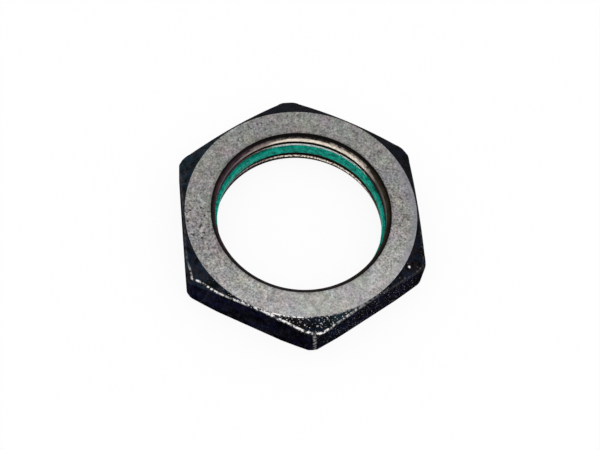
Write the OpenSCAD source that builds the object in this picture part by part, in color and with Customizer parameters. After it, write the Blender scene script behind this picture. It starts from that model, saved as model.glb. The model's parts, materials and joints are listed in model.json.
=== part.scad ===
// Thin hexagonal locknut for a fine 1 inch straight thread, with a polyamide locking ring in its bore.
// Millimetres, +Z up. The origin is the bore's centre on the bottom face, and two flats face +X and -X.
// The bore is drawn at the crests of the thread, whose fine form is left out.

/* [Thread] */
// Major diameter of the thread, at its roots
thread_d = 25.4; // [24:0.1:28]
// Threads in one inch of length
threads_per_inch = 24; // [20:1:32]

/* [Hexagon] */
// Steel between the thread's roots and each flat
flat_wall = 3.97; // [3.2:0.01:6]
// Thickness from the bottom face to the top face
thickness = 6.35; // [5.6:0.05:9]
// Radius of the six upright corners
corner_radius = 1.3; // [0.8:0.1:4]

/* [Faces] */
// Slope of the turned chamfers, measured from the face
chamfer_angle = 25; // [15:1:35]
// How far inside the flats the round edge of the top face lies
top_face_inset = 0.27; // [0:0.01:1.2]
// How far outside the flats the chamfer on the bottom face starts
bottom_face_outset = 0.7; // [0:0.01:1]
// Radius where the top chamfer rolls over into the corners
top_shoulder = 0.9; // [0.4:0.1:2.4]
// Radius where the bottom chamfer rolls over into the corners
bottom_shoulder = 0.5; // [0.4:0.1:1.4]
// Included angle of the countersinks
countersink_angle = 105; // [80:1:120]
// Depth of the countersink in the top face
top_countersink = 0.5; // [0.2:0.01:0.9]
// Depth of the countersink in the bottom face
bottom_countersink = 0.45; // [0.2:0.01:0.9]

/* [Locking ring] */
// Height of the ring, which lies at mid-thickness
ring_height = 1.6; // [1.2:0.05:2.2]
// Thickness of the ring from its inside to its outside
ring_wall = 1.6; // [1.2:0.05:2]
// How far the ring reaches in past the thread's roots, to grip the male thread
ring_bite = 0.9; // [0.4:0.05:1]
// Small chamfer on the ring's two inner edges
ring_lead_in = 0.05; // [0.02:0.01:0.5]
// Clearance round the outside of the ring
ring_side_gap = 0.05; // [0.02:0.01:0.15]
// Clearance over the top of the ring
ring_top_gap = 0.1; // [0.02:0.01:0.3]

/* [Hidden] */
$fn = 120;
inch = 25.4;
// Overrun of each cut past the face it opens
cut = 0.5;
// A 60 degree thread's crests stand this share of the pitch in from its roots
thread_depth = 0.5413 * inch / threads_per_inch;
thread_r = thread_d / 2;
crest_r = thread_r - thread_depth;
flat_r = thread_r + flat_wall;
// Distance from the axis to the centre of a corner's round, and to the corner itself
corner_centre_r = (flat_r - corner_radius) / cos(30);
corner_reach = corner_centre_r + corner_radius;
top_circle_r = flat_r - top_face_inset;
bottom_circle_r = flat_r + bottom_face_outset;
ring_inner_r = thread_r - ring_bite;
ring_outer_r = ring_inner_r + ring_wall;
groove_r = ring_outer_r + ring_side_gap;
groove_height = ring_height + ring_top_gap;
groove_floor = (thickness - groove_height) / 2;

// Where a chamfer ends and its shoulder begins: the radius there, the drop from the face, and the
// depth of the shoulder's centre below the face
function shoulder_r(round) = corner_reach - round * (1 - sin(chamfer_angle));
function shoulder_drop(circle_r, round) = (shoulder_r(round) - circle_r) * tan(chamfer_angle);
function shoulder_centre(circle_r, round) = shoulder_drop(circle_r, round) + round * cos(chamfer_angle);

// Plan outline: six flats, each ending at the tangent points of two round corners
module rounded_hexagon() {
    polygon([for (corner = [30:60:330], side = [-30, 30])
        corner_centre_r * [cos(corner), sin(corner)]
        + corner_radius * [cos(corner + side), sin(corner + side)]]);
    for (corner = [30:60:330])
        rotate(corner) translate([corner_centre_r, 0]) circle(r = corner_radius);
}

// Half section of the turning: two chamfers that roll over into the corners through round shoulders
module turned_section() {
    top_centre = thickness - shoulder_centre(top_circle_r, top_shoulder);
    bottom_centre = shoulder_centre(bottom_circle_r, bottom_shoulder);
    polygon([
        [0, 0],
        [bottom_circle_r, 0],
        [shoulder_r(bottom_shoulder), shoulder_drop(bottom_circle_r, bottom_shoulder)],
        [corner_reach, bottom_centre],
        [corner_reach, top_centre],
        [shoulder_r(top_shoulder), thickness - shoulder_drop(top_circle_r, top_shoulder)],
        [top_circle_r, thickness],
        [0, thickness]
    ]);
    translate([corner_reach - bottom_shoulder, bottom_centre]) circle(r = bottom_shoulder);
    translate([corner_reach - top_shoulder, top_centre]) circle(r = top_shoulder);
}

// A countersink, drawn as in the top face and opening upwards from the crests
module countersink(depth) {
    height = depth + cut;
    translate([0, 0, -depth])
        cylinder(h = height, r1 = crest_r, r2 = crest_r + height * tan(countersink_angle / 2));
}

module nut_body() {
    color("#57575b")
    difference() {
        intersection() {
            linear_extrude(thickness) rounded_hexagon();
            rotate_extrude() turned_section();
        }
        translate([0, 0, -cut]) cylinder(h = thickness + 2 * cut, r = crest_r);
        translate([0, 0, thickness]) countersink(top_countersink);
        mirror([0, 0, 1]) countersink(bottom_countersink);
        translate([0, 0, groove_floor]) cylinder(h = groove_height, r = groove_r);
    }
}

module locking_ring() {
    color("#147869")
    translate([0, 0, groove_floor]) rotate_extrude() polygon([
        [ring_inner_r, ring_lead_in],
        [ring_inner_r + ring_lead_in, 0],
        [ring_outer_r, 0],
        [ring_outer_r, ring_height],
        [ring_inner_r + ring_lead_in, ring_height],
        [ring_inner_r, ring_height - ring_lead_in]
    ]);
}

nut_body();
locking_ring();
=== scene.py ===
import json
import math

import bpy
from mathutils import Matrix, Vector


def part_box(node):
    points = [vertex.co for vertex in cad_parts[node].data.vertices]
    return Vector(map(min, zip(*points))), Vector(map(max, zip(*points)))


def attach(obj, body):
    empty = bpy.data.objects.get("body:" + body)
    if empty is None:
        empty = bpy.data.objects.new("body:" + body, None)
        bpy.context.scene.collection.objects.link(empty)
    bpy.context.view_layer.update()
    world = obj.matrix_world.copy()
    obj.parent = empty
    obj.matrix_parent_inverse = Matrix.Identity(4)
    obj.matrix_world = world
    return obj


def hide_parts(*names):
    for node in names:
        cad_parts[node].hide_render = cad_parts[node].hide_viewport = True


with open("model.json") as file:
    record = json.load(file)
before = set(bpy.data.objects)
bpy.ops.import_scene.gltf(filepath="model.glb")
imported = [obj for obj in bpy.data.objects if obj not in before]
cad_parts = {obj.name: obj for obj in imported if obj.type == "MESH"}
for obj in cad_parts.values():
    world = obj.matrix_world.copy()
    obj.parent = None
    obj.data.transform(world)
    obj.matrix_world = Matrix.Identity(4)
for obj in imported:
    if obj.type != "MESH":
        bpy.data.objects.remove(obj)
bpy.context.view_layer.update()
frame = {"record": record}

MM = 0.001
STEPS = 192

# Sizes that the frame gives
nut_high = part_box("nut_body")[1]
ring_low, ring_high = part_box("locking_ring")
thread_mount = next(mount for mount in frame["record"]["mounts"] if mount["name"] == "thread")
flat_r, corner_reach, thickness = nut_high
crest_r = thread_mount["dims"]["r_mm"] * MM
ring_outer_r = ring_high.x

# Corners, chamfers and shoulders: each chamfer rolls over into the corners through a round shoulder
corner_radius = 1.3 * MM
chamfer_slope = math.radians(25)
top_circle_r = flat_r - 0.27 * MM
bottom_circle_r = flat_r + 0.7 * MM
top_shoulder = 0.9 * MM
bottom_shoulder = 0.5 * MM
crease_r = corner_reach - top_shoulder * (1 - math.sin(chamfer_slope))
broken_edge = 0.12 * MM
rim_round = 0.1 * MM
nick = (14.05, -9.65, 0)

# Bore: countersinks, and the groove that holds the ring
countersink_half_angle = math.radians(105 / 2)
top_countersink = 0.5 * MM
bottom_countersink = 0.32 * MM
groove_r = ring_outer_r + 0.05 * MM

# Right-hand thread, 24 turns to the inch, which fades out under the top face at the right
pitch = 25.4 * MM / 24
root_r = crest_r + 0.42 * MM
root_flat = 0.14 * MM
thread_flank = math.radians(30)
thread_turns = 6
thread_end_azimuth = math.radians(-20)
thread_end_z = 5.515 * MM
thread_fade = math.radians(60)

# Inside of the ring, which stands a little inside the crests
ring_inner_r = crest_r - 0.327 * MM
ring_top_edge = 0.05 * MM
ring_bottom_edge = 0.2 * MM
ring_top = ring_high.z - 0.06 * MM
groove_top = ring_top + 0.02 * MM

# The camera looks at the bore's centre on the bottom face, apart from its shift
camera_azimuth = math.radians(-14.308)
camera_elevation = math.radians(61.776)
camera_roll = math.radians(9.5785)
camera_distance = 187.34 * MM
camera_lens_mm = 77.61
camera_shift = (0.00312, 0.0103)

# Shares from 0 to 1 by azimuth in degrees, which the finishes read from the nut's mesh
shares = {
    # The oxide is rubbed off along a line on the chamfers, at the front left and round the front corner; the bright
    # line is also a painted highlight of the rounded edge
    "edge_bare_and_highlight": [
        (-180, 0.02), (-163, 0.03), (-158, 0.16), (-151, 0.2), (-148, 1.0), (-140, 0.9), (-136, 0.5), (-128, 1.0),
        (-112, 1.2), (-84, 1.1), (-78, 0.6), (-70, 0.3), (-64, 0.1), (-50, 0.02), (-30, 0.04), (10, 0.01),
        (120, 0.01), (180, 0.02)
    ],
    # How far that line lies inside the flats, in millimetres
    "edge_line": [
        (-180, 0.15), (-162, 0.15), (-158, 0.2), (-153.4, 0.56), (-148.7, 0.74), (-143.5, 0.44), (-138.5, 0.15),
        (-134.5, 0.05), (-129, 0.05), (-120, 0.19), (-107, 0.21), (-96, 0.25), (-94, 0.33), (-90, 0.6), (-87.8, 0.3),
        (-85.6, 0.16), (-74, 0.16), (-60, 0.1), (-36, 0.15), (-30, 0.5), (-24, 0.15), (180, 0.15)
    ],
    # The edge between the ground face and the chamfer: rubbed bare steel that is also a painted highlight
    "circle_bare_and_highlight": [
        (-180, 0.0), (-124, 0.0), (-114, 0.4), (-106, 1.1), (-97, 1.1), (-90, 0.4), (-70, 0.2), (-50, 0.0), (180, 0.0)
    ],
    # A painted highlight on the upright front corner, drawn as bare steel
    "corner_highlight": [(-180, 0.0), (-96, 0.0), (-92, 0.3), (-88, 0.3), (-84, 0.0), (180, 0.0)],
    # Painted glints: loose bright spots on the chamfers, mostly at the front
    "painted_glints": [
        (-180, 0.1), (-150, 0.2), (-138, 0.4), (-130, 1.2), (-106, 1.2), (-98, 0.9), (-75, 1.0), (-55, 0.7),
        (-30, 0.4), (0, 0.0), (180, 0.1)
    ],
    # Painted glints: loose bright spots on the flats, mostly at the front right
    "flat_painted_glints": [
        (-180, 0.2), (-130, 0.3), (-92, 0.3), (-84, 0.8), (-36, 0.8), (-28, 0.2), (0, 0.0), (120, 0.0), (180, 0.2)
    ],
    # Where the ground face is polished smooth beside the chamfer
    "polished": [(-180, 0.0), (-60, 0.0), (-40, 0.5), (-5, 0.8), (20, 0.6), (40, 0.0), (180, 0.0)],
    # How light the oxide is
    "oxide_light": [
        (-180, 1.0), (-112, 1.0), (-104, 0.6), (-86, 0.6), (-78, 1.0), (-60, 1.0), (-30, 0.65), (0, 0.4), (110, 0.42),
        (130, 1.15), (160, 1.15), (180, 1.0)
    ],
    # Painted teal reflection on the oxide
    "teal": [
        (-180, 0.15), (-140, 0.25), (-120, 0.2), (-88, 0.1), (-82, 0.8), (-72, 0.8), (-62, 0.1), (60, 0.05),
        (118, 0.15), (128, 0.4), (150, 0.5), (165, 0.3), (180, 0.15)
    ],
    # How coarse the ground face's grain is
    "coarse": [
        (-180, 0.75), (-140, 0.75), (-120, 0.7), (-90, 0.3), (-60, 0.4), (-40, 0.7), (0, 0.9), (40, 0.65), (90, 0.5),
        (130, 0.6), (180, 0.75)
    ],
    # Black pits in the ground face
    "pitted": [
        (-180, 0.9), (-165, 0.9), (-150, 0.0), (80, 0.0), (88, 0.6), (124, 0.6), (130, 0.0), (165, 0.0), (176, 0.9),
        (180, 0.9)
    ],
    # Painted light and shade on the thread's crests, brightest on the far side of the bore
    "painted_crest_light": [
        (-180, 0.2), (-60, 0.3), (-10, 0.05), (20, 0.08), (32, 0.6), (38, 1.0), (98, 1.0), (108, 0.55),
        (128, 0.3), (140, 0.1), (160, 0.05), (180, 0.2)
    ],
    # Scraps of bare metal on the countersink, which on the far side of the bore are also a painted highlight
    "torn_and_highlit": [
        (-180, 0.0), (28, 0.0), (34, 0.6), (47, 0.6), (51, 0.1), (55, 0.6), (62, 0.6), (66, 0.1), (94, 0.2),
        (97, 0.4), (102, 0.2), (124, 0.25), (132, 0.0), (180, 0.0)
    ],
    # Heat tints in the bore: purple brown at the left and olive brown at the right
    "purple": [(-180, 0.7), (-120, 0.3), (-60, 0.3), (0, 0.05), (60, 0.0), (105, 0.05), (125, 0.5), (150, 0.9), (180, 0.7)],
    "olive": [(-180, 0.1), (-90, 0.1), (-30, 0.4), (10, 0.9), (35, 0.4), (60, 0.1), (90, 0.0), (180, 0.1)],
}


def srgb(hex_colour):
    """Linear RGBA of an sRGB hex colour."""
    channels = [int(hex_colour[i:i + 2], 16) / 255 for i in (1, 3, 5)]
    return [c / 12.92 if c <= 0.04045 else ((c + 0.055) / 1.055) ** 2.4 for c in channels] + [1]


def by_azimuth(table, place):
    """Value of a table of (azimuth in degrees, value) pairs at a place, straight between the pairs."""
    azimuth = math.degrees(math.atan2(place.y, place.x))
    for (low, at_low), (high, at_high) in zip(table, table[1:]):
        if azimuth <= high:
            return at_low + (at_high - at_low) * (azimuth - low) / (high - low)
    return table[-1][1]


def deselect():
    if bpy.context.object and bpy.context.object.mode != "OBJECT":
        bpy.ops.object.mode_set(mode="OBJECT")
    bpy.ops.object.select_all(action="DESELECT")


def activate(piece):
    deselect()
    piece.select_set(True)
    bpy.context.view_layer.objects.active = piece


def select_edges(piece, test):
    """Goes to edit mode with only those edges selected for which test is true."""
    activate(piece)
    bpy.ops.object.mode_set(mode="EDIT")
    bpy.ops.mesh.select_mode(type="EDGE")
    bpy.ops.mesh.select_all(action="DESELECT")
    bpy.ops.object.mode_set(mode="OBJECT")
    for edge in piece.data.edges:
        edge.select = test(edge)
    bpy.ops.object.mode_set(mode="EDIT")


def use_modifier(piece, kind, **settings):
    """Adds a modifier, sets it and applies it."""
    activate(piece)
    modifier = piece.modifiers.new(kind.lower(), kind)
    for name, value in settings.items():
        setattr(modifier, name, value)
    bpy.ops.object.modifier_apply(modifier=modifier.name)


def cut(piece, tool, operation):
    """Joins, cuts or intersects the piece with the tool, which is then deleted."""
    use_modifier(piece, "BOOLEAN", operation=operation, object=tool, solver="EXACT")
    bpy.data.objects.remove(tool, do_unlink=True)


def drawn(name, points, closed):
    """A new object that is only an outline through 3-D points."""
    mesh = bpy.data.meshes.new(name)
    count = len(points)
    edges = [(i, (i + 1) % count) for i in range(count if closed else count - 1)]
    mesh.from_pydata(points, edges, [])
    piece = bpy.data.objects.new(name, mesh)
    bpy.context.scene.collection.objects.link(piece)
    return piece


def turned(name, outline, closed=False):
    """A solid of revolution spun from its half section, a list of (r, z) points."""
    piece = drawn(name, [(r, 0, z) for r, z in outline], closed)
    activate(piece)
    bpy.ops.object.mode_set(mode="EDIT")
    bpy.ops.mesh.select_all(action="SELECT")
    bpy.ops.mesh.spin(steps=STEPS, angle=math.tau, center=(0, 0, 0), axis=(0, 0, 1))
    bpy.ops.mesh.select_all(action="SELECT")
    bpy.ops.mesh.remove_doubles(threshold=0.0005 * MM)
    bpy.ops.mesh.normals_make_consistent(inside=False)
    bpy.ops.object.mode_set(mode="OBJECT")
    return piece


def on_flat_edge(place):
    """Whether a point is on the upper edge of a flat, short of the creases where the chamfer rolls over."""
    slant = math.sqrt(0.75)
    across = max(abs(place.x), abs(place.x / 2 + place.y * slant), abs(place.x / 2 - place.y * slant))
    short = math.hypot(place.x, place.y) < crease_r - 0.05 * MM
    return short and abs(across - flat_r) < 0.001 * MM and place.z > thickness / 2


def hexagonal_bar():
    """A slice of hexagonal bar, with its six upright corners rounded."""
    deselect()
    bpy.ops.mesh.primitive_cylinder_add(
        vertices=6, radius=flat_r / math.cos(math.pi / 6), depth=thickness, location=(0, 0, thickness / 2)
    )
    piece = bpy.context.object
    piece.name = "steel_nut"
    bpy.ops.object.transform_apply(location=True, rotation=True, scale=True)
    points = piece.data.vertices
    select_edges(piece, lambda edge: abs(points[edge.vertices[0]].co.z - points[edge.vertices[1]].co.z) > MM)
    bpy.ops.mesh.bevel(offset=corner_radius * math.tan(math.pi / 6), segments=10, profile=0.5)
    bpy.ops.object.mode_set(mode="OBJECT")
    return piece


def turned_blank():
    """The lathe's envelope: two chamfers that roll over into the corners through round shoulders."""

    def face_outline(circle_r, shoulder, face_z, way):
        start_r = corner_reach - shoulder * (1 - math.sin(chamfer_slope))
        drop = (start_r - circle_r) * math.tan(chamfer_slope)
        centre_r = corner_reach - shoulder
        centre_drop = drop + shoulder * math.cos(chamfer_slope)
        points = [(0, 0)]
        for i in range(4):
            angle = chamfer_slope * i / 3
            points.append((circle_r + rim_round * (math.sin(angle) - math.tan(chamfer_slope / 2)),
                           rim_round * (1 - math.cos(angle))))
        arc_steps = 8
        for i in range(arc_steps + 1):
            angle = (math.pi / 2 - chamfer_slope) * (1 - i / arc_steps)
            points.append((centre_r + shoulder * math.cos(angle), centre_drop - shoulder * math.sin(angle)))
        return [(r, face_z + way * z) for r, z in points]

    bottom = face_outline(bottom_circle_r, bottom_shoulder, 0, 1)
    top = face_outline(top_circle_r, top_shoulder, thickness, -1)
    return turned("turned_blank", bottom + top[::-1])


def bore_tool():
    """The bore at the thread's crests, its two countersinks and the ring's groove."""
    overrun = 0.5 * MM
    flare = math.tan(countersink_half_angle)
    return turned("bore_tool", [
        (0, -overrun),
        (crest_r + (bottom_countersink + overrun) * flare, -overrun),
        (crest_r, bottom_countersink),
        (crest_r, ring_low.z),
        (groove_r, ring_low.z),
        (groove_r, groove_top),
        (crest_r, groove_top),
        (crest_r, thickness - top_countersink),
        (crest_r + (top_countersink + overrun) * flare, thickness + overrun),
        (0, thickness + overrun),
    ])


def thread_tool():
    """The tap: one 60 degree section on a screw, whose last stretch sinks back into the bore."""
    inside = 0.15 * MM
    half_mouth = (root_r - crest_r + inside) * math.tan(thread_flank) + root_flat / 2
    section = [
        (crest_r - inside, -half_mouth),
        (root_r, -root_flat / 2),
        (root_r, root_flat / 2),
        (crest_r - inside, half_mouth),
    ]
    start_z = thread_end_z - thread_turns * pitch
    cosine = math.cos(thread_end_azimuth)
    sine = math.sin(thread_end_azimuth)
    tool = drawn("thread_tool", [(r * cosine, r * sine, start_z + z) for r, z in section], True)
    steps = STEPS // 2
    use_modifier(
        tool, "SCREW", axis="Z", angle=math.tau, screw_offset=pitch, iterations=thread_turns,
        steps=steps, render_steps=steps, use_smooth_shade=False
    )
    last_ring = len(tool.data.vertices) // len(section) - 1
    fade_rings = steps * thread_fade / math.tau
    for vertex in tool.data.vertices:
        to_end = last_ring - vertex.index // len(section)
        sunk = max(0, 1 - to_end / fade_rings) * (root_r - crest_r + 0.05 * MM)
        radius = math.hypot(vertex.co.x, vertex.co.y)
        vertex.co.x *= 1 - sunk / radius
        vertex.co.y *= 1 - sunk / radius
    activate(tool)
    bpy.ops.object.mode_set(mode="EDIT")
    bpy.ops.mesh.select_mode(type="EDGE")
    bpy.ops.mesh.select_all(action="DESELECT")
    bpy.ops.mesh.select_non_manifold()
    bpy.ops.mesh.fill_holes(sides=0)
    bpy.ops.mesh.select_all(action="SELECT")
    bpy.ops.mesh.normals_make_consistent(inside=False)
    bpy.ops.object.mode_set(mode="OBJECT")
    return tool


def add(tree, kind, inputs=None, **settings):
    """Adds a node with its settings. Each input is set to a value or a hex colour, or is linked to a
    socket or to a node's first output in use."""
    node = tree.nodes.new("ShaderNode" + kind)
    for name, value in settings.items():
        setattr(node, name, value)
    for key, value in (inputs or {}).items():
        if isinstance(value, bpy.types.Node):
            value = next(output for output in value.outputs if output.enabled)
        if isinstance(value, bpy.types.NodeSocket):
            tree.links.new(value, node.inputs[key])
        else:
            node.inputs[key].default_value = srgb(value) if isinstance(value, str) else value
    return node


def start_material(name):
    """A new material's empty node tree, with the place on the piece in millimetres."""
    made = bpy.data.materials.new(name)
    made.use_nodes = True
    tree = made.node_tree
    tree.nodes.clear()
    place = add(tree, "TexCoord").outputs["Object"]
    return tree, add(tree, "VectorMath", {0: place, "Scale": 1 / MM}, operation="SCALE")


def ground_steel():
    """Steel faces ground flat on a belt, to bare metal: an even grey with fine grit that glitters
    slightly, dull patches with a faint warm or green cast, a few black pits, a soft dark rim round the
    bore and a stretch beside the chamfer that wear has polished smooth."""
    tree, place = start_material("ground_steel")
    across = add(tree, "VectorMath", {0: place, 1: (1, 1, 0)}, operation="MULTIPLY")
    radius = add(tree, "VectorMath", {0: across}, operation="LENGTH")
    tilted = add(tree, "Mapping", {"Vector": place, "Rotation": (0.5, 0.4, 0.7)})
    grit = add(tree, "TexNoise", {"Vector": tilted, "Scale": 3.4, "Detail": 2, "Roughness": 0.7})
    patches = add(tree, "TexNoise", {"Vector": place, "Scale": 0.35, "Detail": 4, "Roughness": 0.7})
    cast = add(tree, "VectorMath", {0: patches.outputs["Color"], 1: (0.5, 0.5, 0.5)}, operation="SUBTRACT")
    cast = add(tree, "VectorMath", {0: cast, "Scale": 0.1}, operation="SCALE")
    tone = add(tree, "VectorMath", {0: cast, 1: srgb("#888785")[:3]}, operation="ADD")
    worn = add(tree, "MapRange", {0: radius, 1: 15.1, 2: 16.1})
    share = add(tree, "Attribute", attribute_name="polished").outputs["Fac"]
    worn = add(tree, "Math", {0: worn, 1: share}, operation="MULTIPLY")
    tone = add(tree, "Mix", {0: worn, 6: tone, 7: "#7f7f86"}, data_type="RGBA")
    mottle = add(tree, "TexNoise", {"Vector": tilted, "Scale": 1.0, "Detail": 3, "Roughness": 0.7})
    share = add(tree, "Attribute", attribute_name="coarse").outputs["Fac"]
    depth = add(tree, "MapRange", {0: share, 3: 0.2, 4: 0.6})
    light = add(tree, "MapRange", {0: grit, 1: 0.35, 2: 0.65, 3: -1, 4: 1})
    light = add(tree, "Math", {0: light, 1: depth, 2: 1}, operation="MULTIPLY_ADD")
    depth = add(tree, "MapRange", {0: share, 3: 0.18, 4: 0.3})
    shade = add(tree, "MapRange", {0: mottle, 1: 0.35, 2: 0.65, 3: -1, 4: 1})
    shade = add(tree, "Math", {0: shade, 1: depth, 2: 1}, operation="MULTIPLY_ADD")
    light = add(tree, "Math", {0: light, 1: shade}, operation="MULTIPLY")
    light = add(tree, "Mix", {0: worn, 2: light, 3: 1.0})
    rim = add(tree, "MapRange", {0: radius, 1: 12.7, 2: 13.2, 3: 0.6, 4: 1})
    light = add(tree, "Math", {0: light, 1: rim}, operation="MULTIPLY")
    colour = add(tree, "VectorMath", {0: tone, "Scale": light}, operation="SCALE")
    stray = add(tree, "VectorMath", {0: cast, "Scale": 30.0}, operation="SCALE")
    stray = add(tree, "VectorMath", {0: tilted, 1: stray}, operation="ADD")
    cells = add(tree, "TexVoronoi", {"Vector": stray, "Scale": 1.1})
    pit = add(tree, "MapRange", {0: cells.outputs["Distance"], 1: 0.24, 2: 0.38, 3: 1, 4: 0})
    share = add(tree, "Attribute", attribute_name="pitted").outputs["Fac"]
    pit = add(tree, "Math", {0: pit, 1: share}, operation="MULTIPLY")
    share = add(tree, "MapRange", {0: mottle, 1: 0.47, 2: 0.52})
    pit = add(tree, "Math", {0: pit, 1: share}, operation="MULTIPLY")
    shader = add(tree, "BsdfPrincipled", {
        "Base Color": add(tree, "Mix", {0: pit, 6: colour, 7: "#1d1a1c"}, data_type="RGBA"),
        "Metallic": 1.0,
        "Roughness": add(tree, "MapRange", {0: grit, 1: 0.3, 2: 0.7, 3: 0.09, 4: 0.17}),
        "Normal": add(tree, "Bump", {"Height": grit, "Strength": 0.12, "Distance": 0.02 * MM})
    })
    add(tree, "OutputMaterial", {0: shader})


def bare_and_highlit_edges(tree, place):
    """How bare the steel is, 0 to 1, by the distance in millimetres from each edge that rubs; along the front edges
    and the front corner this bright steel is also a painted highlight.
    """
    across = add(tree, "VectorMath", {0: place, 1: (1, 1, 0)}, operation="MULTIPLY")
    radius = add(tree, "VectorMath", {0: across}, operation="LENGTH")
    axes = add(tree, "SeparateXYZ", {0: place})
    quarter = add(tree, "VectorMath", {0: across}, operation="ABSOLUTE")
    over_x = add(tree, "VectorMath", {0: quarter, 1: (1, 0, 0)}, operation="DOT_PRODUCT")
    over_slant = add(tree, "VectorMath", {0: quarter, 1: (0.5, math.sqrt(0.75), 0)}, operation="DOT_PRODUCT")
    hexagon = add(tree, "Math", {0: over_x, 1: over_slant}, operation="MAXIMUM")
    slope = math.tan(chamfer_slope)
    to_cone = add(tree, "Math", {0: radius, 1: slope, 2: axes.outputs["Z"]}, operation="MULTIPLY_ADD")
    below = add(tree, "Math", {0: (thickness + top_circle_r * slope) / MM, 1: to_cone}, operation="SUBTRACT")
    below = add(tree, "Math", {0: below, 1: 0.6}, operation="MULTIPLY")
    inside = add(tree, "Math", {0: flat_r / MM, 1: hexagon}, operation="SUBTRACT")
    line = add(tree, "Attribute", attribute_name="edge_line").outputs["Fac"]
    from_line = add(tree, "Math", {0: inside, 1: line}, operation="SUBTRACT")
    from_circle = add(tree, "Math", {0: radius, 1: top_circle_r / MM + 0.05}, operation="SUBTRACT")
    upright = add(tree, "Math", {0: axes.outputs["Z"], 1: 0.1, 2: axes.outputs["X"]}, operation="MULTIPLY_ADD")
    from_upright = add(tree, "Math", {0: upright, 1: 0.4}, operation="SUBTRACT")
    corner = add(tree, "Math", {0: axes.outputs["Y"], 1: corner_reach / MM - 0.12}, operation="ADD")
    most = None
    for away, limit, width, name in (
        (from_line, below, 0.17, "edge_bare_and_highlight"),
        (from_circle, below, 0.12, "circle_bare_and_highlight"),
        # The upright front corner gets a painted highlight, a strip of bare steel colour.
        (from_upright, corner, 0.3, "corner_highlight"),
    ):
        distance = add(tree, "Math", {0: away}, operation="ABSOLUTE")
        distance = add(tree, "Math", {0: distance, 1: limit}, operation="MAXIMUM")
        near = add(tree, "MapRange", {0: distance, 1: 0, 2: width, 3: 1, 4: 0})
        share = add(tree, "Attribute", attribute_name=name).outputs["Fac"]
        bare = add(tree, "Math", {0: near, 1: share}, operation="MULTIPLY")
        most = add(tree, "Math", {0: most, 1: bare}, operation="MAXIMUM") if most else bare
    from_nick = add(tree, "VectorMath", {0: across, 1: nick}, operation="DISTANCE").outputs["Value"]
    bare = add(tree, "MapRange", {0: from_nick, 1: 0, 2: 0.22, 3: 1.4, 4: 0})
    return add(tree, "Math", {0: most, 1: bare}, operation="MAXIMUM")


def oxide_steel(name, black, navy, brown, line_scale, gloss, tint, painted_glints, painted_glint_light):
    """Black oxide, the hot blackening of machined steel: nearly black with navy and brown casts where the film is
    thinner, a painted teal reflection, fine tool lines, and bright bare steel wherever it is rubbed off, which along
    the front edges is also a painted highlight, with painted glints as loose bright spots."""
    tree, place = start_material(name)
    blotch = add(tree, "TexNoise", {"Vector": place, "Scale": 0.7, "Detail": 4, "Roughness": 0.7})
    other = add(tree, "TexNoise", {"Vector": place, "Scale": 0.5, "Detail": 4, "Roughness": 0.7})
    fine = add(tree, "TexNoise", {"Vector": place, "Scale": 2.4, "Detail": 2, "Roughness": 0.6})
    glint = add(tree, "TexNoise", {"Vector": place, "Scale": 4.2, "Detail": 1, "Roughness": 0.5})
    drawn = add(tree, "Mapping", {"Vector": place, "Scale": line_scale})
    lines = add(tree, "TexNoise", {"Vector": drawn, "Scale": 2.0, "Detail": 2, "Roughness": 0.6})
    share = add(tree, "MapRange", {0: blotch, 1: 0.45, 2: 0.56})
    colour = add(tree, "Mix", {0: share, 6: black, 7: navy}, data_type="RGBA")
    share = add(tree, "MapRange", {0: other, 1: 0.48, 2: 0.58, 3: 0, 4: 0.6})
    colour = add(tree, "Mix", {0: share, 6: colour, 7: brown}, data_type="RGBA")
    share = add(tree, "MapRange", {0: blotch, 1: 0.35, 2: 0.6, 3: 0.2, 4: 1})
    # Painted teal reflection, strongest on the front chamfer and at the back left.
    teal = add(tree, "Attribute", attribute_name="teal").outputs["Fac"]
    share = add(tree, "Math", {0: share, 1: teal}, operation="MULTIPLY")
    share = add(tree, "Math", {0: share, 1: tint}, operation="MULTIPLY")
    colour = add(tree, "Mix", {0: share, 6: colour, 7: "#10282c"}, data_type="RGBA")
    share = add(tree, "MapRange", {0: lines, 1: 0.5, 2: 0.75, 3: 0, 4: 0.08})
    colour = add(tree, "Mix", {0: share, 6: colour, 7: "#6a6a74"}, data_type="RGBA")
    share = add(tree, "Attribute", attribute_name="oxide_light").outputs["Fac"]
    colour = add(tree, "VectorMath", {0: colour, "Scale": share}, operation="SCALE")
    broken = add(tree, "MapRange", {0: fine, 1: 0.42, 2: 0.6, 3: 0.05, 4: 2.4})
    worn = add(tree, "MapRange", {0: other, 1: 0.4, 2: 0.55, 3: 0.5, 4: 1.2})
    worn = add(tree, "Math", {0: broken, 1: worn}, operation="MULTIPLY")
    # The rubbed bare steel along the front edges and the front corner is also a painted highlight.
    worn = add(tree, "Math", {0: bare_and_highlit_edges(tree, place), 1: worn}, operation="MULTIPLY", use_clamp=True)
    # Painted glints: bright spots of bare steel colour where the noise peaks.
    share = add(tree, "Attribute", attribute_name=painted_glints).outputs["Fac"]
    painted_glint = add(tree, "Math", {0: share, 1: 0.2, 2: glint}, operation="MULTIPLY_ADD")
    painted_glint = add(tree, "MapRange", {0: painted_glint, 1: 0.82, 2: 0.92, 3: 0, 4: painted_glint_light})
    bright = add(tree, "Math", {0: worn, 1: painted_glint}, operation="MAXIMUM")
    # The pale bare steel colour carries the worn edges, the painted highlights and the painted glints.
    shader = add(tree, "BsdfPrincipled", {
        "Base Color": add(tree, "Mix", {0: bright, 6: colour, 7: "#d4d1d0"}, data_type="RGBA"),
        "Metallic": bright,
        "Roughness": add(tree, "MapRange", {0: fine, 1: 0.3, 2: 0.7, 3: 0.3, 4: 0.5}),
        "Specular IOR Level": gloss,
        "Normal": add(tree, "Bump", {"Height": fine, "Strength": 0.3, "Distance": 0.02 * MM})
    })
    add(tree, "OutputMaterial", {0: shader})


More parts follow.
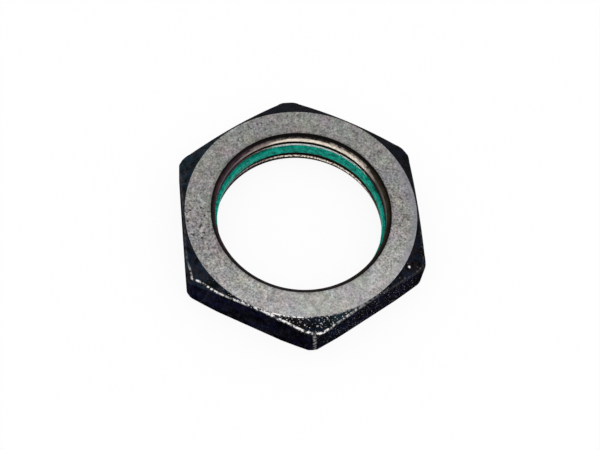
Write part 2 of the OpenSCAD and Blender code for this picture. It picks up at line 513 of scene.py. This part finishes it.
def tapped_steel():
    """Tapped steel under black oxide and old cutting oil: black brown, purple on one side and olive on the other,
    with scraps of bare metal that the tap has ripped up, which on the far side of the top countersink are also a
    painted highlight."""
    tree, place = start_material("tapped_steel")
    blotch = add(tree, "TexNoise", {"Vector": place, "Scale": 0.9, "Detail": 3, "Roughness": 0.6})
    patchy = add(tree, "MapRange", {0: blotch, 1: 0.35, 2: 0.62, 3: 0.3, 4: 1})
    height = add(tree, "SeparateXYZ", {0: place}).outputs["Z"]
    rise = add(tree, "MapRange", {0: height, 1: 5.95, 2: 6.2, 3: 1, 4: 0.05})
    patchy = add(tree, "Math", {0: patchy, 1: rise}, operation="MULTIPLY")
    colour = "#070605"
    for name, tint in (("purple", "#4e3540"), ("olive", "#3a3220")):
        share = add(tree, "Attribute", attribute_name=name).outputs["Fac"]
        share = add(tree, "Math", {0: share, 1: patchy}, operation="MULTIPLY")
        colour = add(tree, "Mix", {0: share, 6: colour, 7: tint}, data_type="RGBA")
    # Bare scraps on the countersink, which on the far side also paint a highlight.
    torn_and_highlit = add(tree, "TexNoise", {"Vector": place, "Scale": 1.3, "Detail": 3, "Roughness": 0.7})
    torn_and_highlit = add(tree, "MapRange", {0: torn_and_highlit, 1: 0.4, 2: 0.62})
    rise = add(tree, "MapRange", {0: height, 1: 5.9, 2: 6.05, 3: 1, 4: 0})
    share = add(tree, "Attribute", attribute_name="torn_and_highlit").outputs["Fac"]
    share = add(tree, "Math", {0: share, 1: rise}, operation="MULTIPLY")
    base = add(tree, "MapRange", {0: height, 1: 5.4, 2: 5.5})
    share = add(tree, "Math", {0: share, 1: base}, operation="MULTIPLY")
    torn_and_highlit = add(tree, "Math", {0: torn_and_highlit, 1: share}, operation="MULTIPLY")
    shader = add(tree, "BsdfPrincipled", {
        "Base Color": add(tree, "Mix", {0: torn_and_highlit, 6: colour, 7: "#e0d0c8"}, data_type="RGBA"),
        "Roughness": 0.35,
        "Specular IOR Level": 0.03
    })
    add(tree, "OutputMaterial", {0: shader})


def bright_crest_steel():
    """The thread's crests, burnished by the tap to bare metal: a warm cream gleam painted as light, brightest on the
    far side of the bore, and painted shade that darkens them at the sides, near the top and where the ring shadows
    them."""
    tree, place = start_material("bright_crest_steel")
    smeared = add(tree, "Mapping", {"Vector": place, "Scale": (1, 1, 4)})
    streaks = add(tree, "TexNoise", {"Vector": smeared, "Scale": 1.0, "Detail": 3, "Roughness": 0.6})
    painted_crest_light = add(tree, "MapRange", {0: streaks, 1: 0.3, 2: 0.6, 3: 0.45, 4: 1})
    share = add(tree, "Attribute", attribute_name="painted_crest_light").outputs["Fac"]
    painted_crest_light = add(tree, "Math", {0: painted_crest_light, 1: share}, operation="MULTIPLY")
    grit = add(tree, "TexNoise", {"Vector": place, "Scale": 3.2, "Detail": 2, "Roughness": 0.7})
    grit = add(tree, "MapRange", {0: grit, 1: 0.44, 2: 0.54, 3: 1, 4: 0})
    height = add(tree, "SeparateXYZ", {0: place}).outputs["Z"]
    rough = add(tree, "MapRange", {0: height, 1: 1.4, 2: 1.5, 3: 0.7, 4: 0})
    share = add(tree, "Attribute", attribute_name="torn_and_highlit").outputs["Fac"]
    share = add(tree, "Math", {0: share, 1: 0.55}, operation="MULTIPLY")
    rough = add(tree, "Math", {0: rough, 1: share}, operation="MAXIMUM")
    rough = add(tree, "Math", {0: grit, 1: rough}, operation="MULTIPLY")
    rough = add(tree, "Math", {0: 1.0, 1: rough}, operation="SUBTRACT")
    painted_crest_light = add(tree, "Math", {0: painted_crest_light, 1: rough}, operation="MULTIPLY")
    # Painted shade: the crests darken towards the top of the bore.
    rise = add(tree, "MapRange", {0: height, 1: 5.5, 2: 5.9, 3: 1, 4: 0.62})
    painted_crest_light = add(tree, "Math", {0: painted_crest_light, 1: rise}, operation="MULTIPLY")
    # Painted shade where the ring shadows the crests, from 1.5 to 3.0 mm up.
    above = add(tree, "MapRange", {0: height, 1: 3.0, 2: 3.1})
    below = add(tree, "MapRange", {0: height, 1: 1.4, 2: 1.5, 3: 1, 4: 0})
    open_to_light = add(tree, "Math", {0: above, 1: below}, operation="MAXIMUM")
    painted_crest_light = add(tree, "Math", {0: painted_crest_light, 1: open_to_light}, operation="MULTIPLY")
    # Painted light and shade: dark purple brown where shaded, tan, then a cream highlight where lit.
    share = add(tree, "MapRange", {0: painted_crest_light, 1: 0.1, 2: 0.55})
    colour = add(tree, "Mix", {0: share, 6: "#33232a", 7: "#a89488"}, data_type="RGBA")
    share = add(tree, "MapRange", {0: painted_crest_light, 1: 0.4, 2: 0.9})
    colour = add(tree, "Mix", {0: share, 6: colour, 7: "#f6ecd9"}, data_type="RGBA")
    # Painted highlight: a pale bluish line on the crest just above the ring, where the crests are lit.
    lip = add(tree, "MapRange", {0: height, 1: 4.5, 2: 4.6, 3: 1, 4: 0})
    lip = add(tree, "Math", {0: lip, 1: above}, operation="MULTIPLY")
    lip = add(tree, "Math", {0: lip, 1: share}, operation="MULTIPLY")
    gleam = add(tree, "MapRange", {0: painted_crest_light, 1: 0.05, 2: 0.3})
    shader = add(tree, "BsdfPrincipled", {
        "Base Color": add(tree, "Mix", {0: lip, 6: colour, 7: "#f2f7fc"}, data_type="RGBA"),
        "Metallic": add(tree, "Math", {0: gleam, 1: lip}, operation="SUBTRACT", use_clamp=True),
        "Roughness": 0.22,
        "Specular IOR Level": 0.03
    })
    add(tree, "OutputMaterial", {0: shader})


def moulded_polyamide():
    """Polyamide, moulded and pigmented teal green: satin, slightly uneven in colour, with pale scuffs
    from the thread gauge."""
    tree, place = start_material("moulded_polyamide")
    blotch = add(tree, "TexNoise", {"Vector": place, "Scale": 1.4, "Detail": 4, "Roughness": 0.7})
    smeared = add(tree, "Mapping", {"Vector": place, "Scale": (1, 1, 3)})
    scuffs = add(tree, "TexNoise", {"Vector": smeared, "Scale": 1.2, "Detail": 4, "Roughness": 0.75})
    share = add(tree, "MapRange", {0: blotch, 1: 0.35, 2: 0.65})
    colour = add(tree, "Mix", {0: share, 6: "#00594a", 7: "#14b7a2"}, data_type="RGBA")
    share = add(tree, "MapRange", {0: scuffs, 1: 0.58, 2: 0.78, 3: 0, 4: 0.6})
    shader = add(tree, "BsdfPrincipled", {
        "Base Color": add(tree, "Mix", {0: share, 6: colour, 7: "#5fb3a6"}, data_type="RGBA"),
        "Roughness": 0.5,
        "Specular IOR Level": 0.03,
        "Normal": add(tree, "Bump", {"Height": scuffs, "Strength": 0.2, "Distance": 0.02 * MM})
    })
    add(tree, "OutputMaterial", {0: shader})


def finish_of_face(face, strips):
    """Name of the finish that a face of the nut has, by its place and direction."""
    radius = math.hypot(face.center.x, face.center.y)
    upright = abs(face.normal.z) < 0.01
    at_a_face = min(abs(face.center.z), abs(face.center.z - thickness)) < 0.01 * MM
    if at_a_face and abs(face.normal.z) > 0.999:
        return "ground_steel"
    if radius < groove_r + 0.2 * MM:
        return "bright_crest_steel" if upright and abs(radius - crest_r) < 0.01 * MM else "tapped_steel"
    return "drawn_oxide_steel" if upright and face.index not in strips else "turned_oxide_steel"


def paint_nut(piece, names, strip):
    """Gives the nut's faces their finishes, and its vertices the shares that the finishes read."""
    mesh = piece.data
    strips = {face.index for face in mesh.polygons if face.material_index == strip}
    mesh.materials.clear()
    for name in names:
        mesh.materials.append(bpy.data.materials[name])
    for face in mesh.polygons:
        face.material_index = names.index(finish_of_face(face, strips))
    for name, table in shares.items():
        layer = mesh.attributes.new(name, "FLOAT", "POINT")
        for vertex in mesh.vertices:
            layer.data[vertex.index].value = by_azimuth(table, vertex.co)


def make_nut():
    piece = hexagonal_bar()
    cut(piece, turned_blank(), "INTERSECT")
    cut(piece, bore_tool(), "DIFFERENCE")
    cut(piece, thread_tool(), "DIFFERENCE")
    for name in ("turned_oxide_steel", "drawn_oxide_steel"):
        piece.data.materials.append(bpy.data.materials[name])
    points = piece.data.vertices
    select_edges(piece, lambda edge: all(on_flat_edge(points[i].co) for i in edge.vertices))
    bpy.ops.mesh.bevel(offset=broken_edge, segments=2, profile=0.5, clamp_overlap=False, material=1)
    bpy.ops.object.mode_set(mode="OBJECT")
    paint_nut(piece, [
        "turned_oxide_steel", "drawn_oxide_steel", "ground_steel", "tapped_steel", "bright_crest_steel"
    ], strip=1)
    activate(piece)
    bpy.ops.object.shade_smooth_by_angle(angle=math.radians(24))
    use_modifier(piece, "WEIGHTED_NORMAL", keep_sharp=True)
    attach(piece, "root")
    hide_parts("nut_body")


def make_ring():
    piece = turned("polyamide_ring", [
        (ring_inner_r, ring_low.z + ring_bottom_edge),
        (ring_inner_r + ring_bottom_edge, ring_low.z),
        (ring_outer_r, ring_low.z),
        (ring_outer_r, ring_top),
        (ring_inner_r + ring_top_edge, ring_top),
        (ring_inner_r, ring_top - ring_top_edge),
    ], closed=True)
    piece.data.materials.append(bpy.data.materials["moulded_polyamide"])
    activate(piece)
    bpy.ops.object.shade_smooth_by_angle(angle=math.radians(24))
    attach(piece, "root")
    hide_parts("locking_ring")


def make_camera():
    a, e, roll = camera_azimuth, camera_elevation, camera_roll
    level = Vector((math.cos(a), math.sin(a), 0))
    back = Vector((math.sin(a) * math.cos(e), -math.cos(a) * math.cos(e), math.sin(e)))
    right = math.cos(roll) * level + math.sin(roll) * back.cross(level)
    turn = Matrix((right, back.cross(right), back)).transposed().to_4x4()
    camera = bpy.data.objects.new("camera", bpy.data.cameras.new("camera"))
    bpy.context.scene.collection.objects.link(camera)
    camera.matrix_world = Matrix.Translation(back * camera_distance) @ turn
    camera.data.lens = camera_lens_mm
    camera.data.shift_x, camera.data.shift_y = camera_shift
    camera.data.clip_start = 5 * MM
    camera.data.clip_end = 10
    bpy.context.scene.camera = camera


def seen_rays(tree):
    """1 for the rays that show a background: from the camera, from a reflection or through glass."""
    path = add(tree, "LightPath")
    seen = path.outputs["Is Camera Ray"]
    seen = add(tree, "Math", {0: seen, 1: path.outputs["Is Glossy Ray"]}, operation="MAXIMUM")
    return add(tree, "Math", {0: seen, 1: path.outputs["Is Transmission Ray"]}, operation="MAXIMUM")


def make_stage():
    """A pale floor that shows as white, a little darker where the nut keeps the light from it."""
    deselect()
    bpy.ops.mesh.primitive_plane_add(size=3, location=(0, 0, -0.02 * MM))
    floor = bpy.context.object
    floor.name = "floor"
    bpy.ops.object.transform_apply(location=True, rotation=True, scale=True)
    tree = start_material("pale_floor")[0]
    paper = add(tree, "BsdfDiffuse", {"Color": srgb("#f7f7f7")})
    white = add(tree, "Emission", {"Color": (1, 1, 1, 1), "Strength": 1.0})
    glow = add(tree, "Math", {0: seen_rays(tree), 1: 0.9}, operation="MULTIPLY")
    add(tree, "OutputMaterial", {0: add(tree, "MixShader", {0: glow, 1: paper, 2: white})})
    floor.data.materials.append(bpy.data.materials["pale_floor"])


def make_lights():
    """An even white surround, and one soft box overhead that lights the front of the face a little more."""
    world = bpy.data.worlds.new("studio")
    bpy.context.scene.world = world
    world.use_nodes = True
    tree = world.node_tree
    tree.nodes.clear()
    strength = add(tree, "MapRange", {"Value": seen_rays(tree), "To Min": 0.8, "To Max": 1.0})
    sky = add(tree, "Background", {"Color": (1, 1, 1, 1), "Strength": strength})
    add(tree, "OutputWorld", {0: sky})
    box = bpy.data.lights.new("soft_box", "AREA")
    box.shape = "RECTANGLE"
    box.size, box.size_y = 0.8, 0.56
    box.energy = 0.92
    held = bpy.data.objects.new("soft_box", box)
    bpy.context.scene.collection.objects.link(held)
    held.location = (0, -0.077, 0.45)
    held.rotation_euler = (0, 0, math.radians(4))


ground_steel()
oxide_steel(
    "turned_oxide_steel", "#030304", "#141a2b", "#241b1f", line_scale=(1, 1, 1), gloss=0.02, tint=1, painted_glints="painted_glints",
    painted_glint_light=0.85
)
oxide_steel(
    "drawn_oxide_steel", "#050508", "#0e0c26", "#141014", line_scale=(1, 1, 0.4), gloss=0.0, tint=0.35,
    painted_glints="flat_painted_glints", painted_glint_light=0.4
)
tapped_steel()
bright_crest_steel()
moulded_polyamide()
make_nut()
make_ring()
make_camera()
make_stage()
make_lights()
bpy.context.scene.view_settings.view_transform = "Standard"
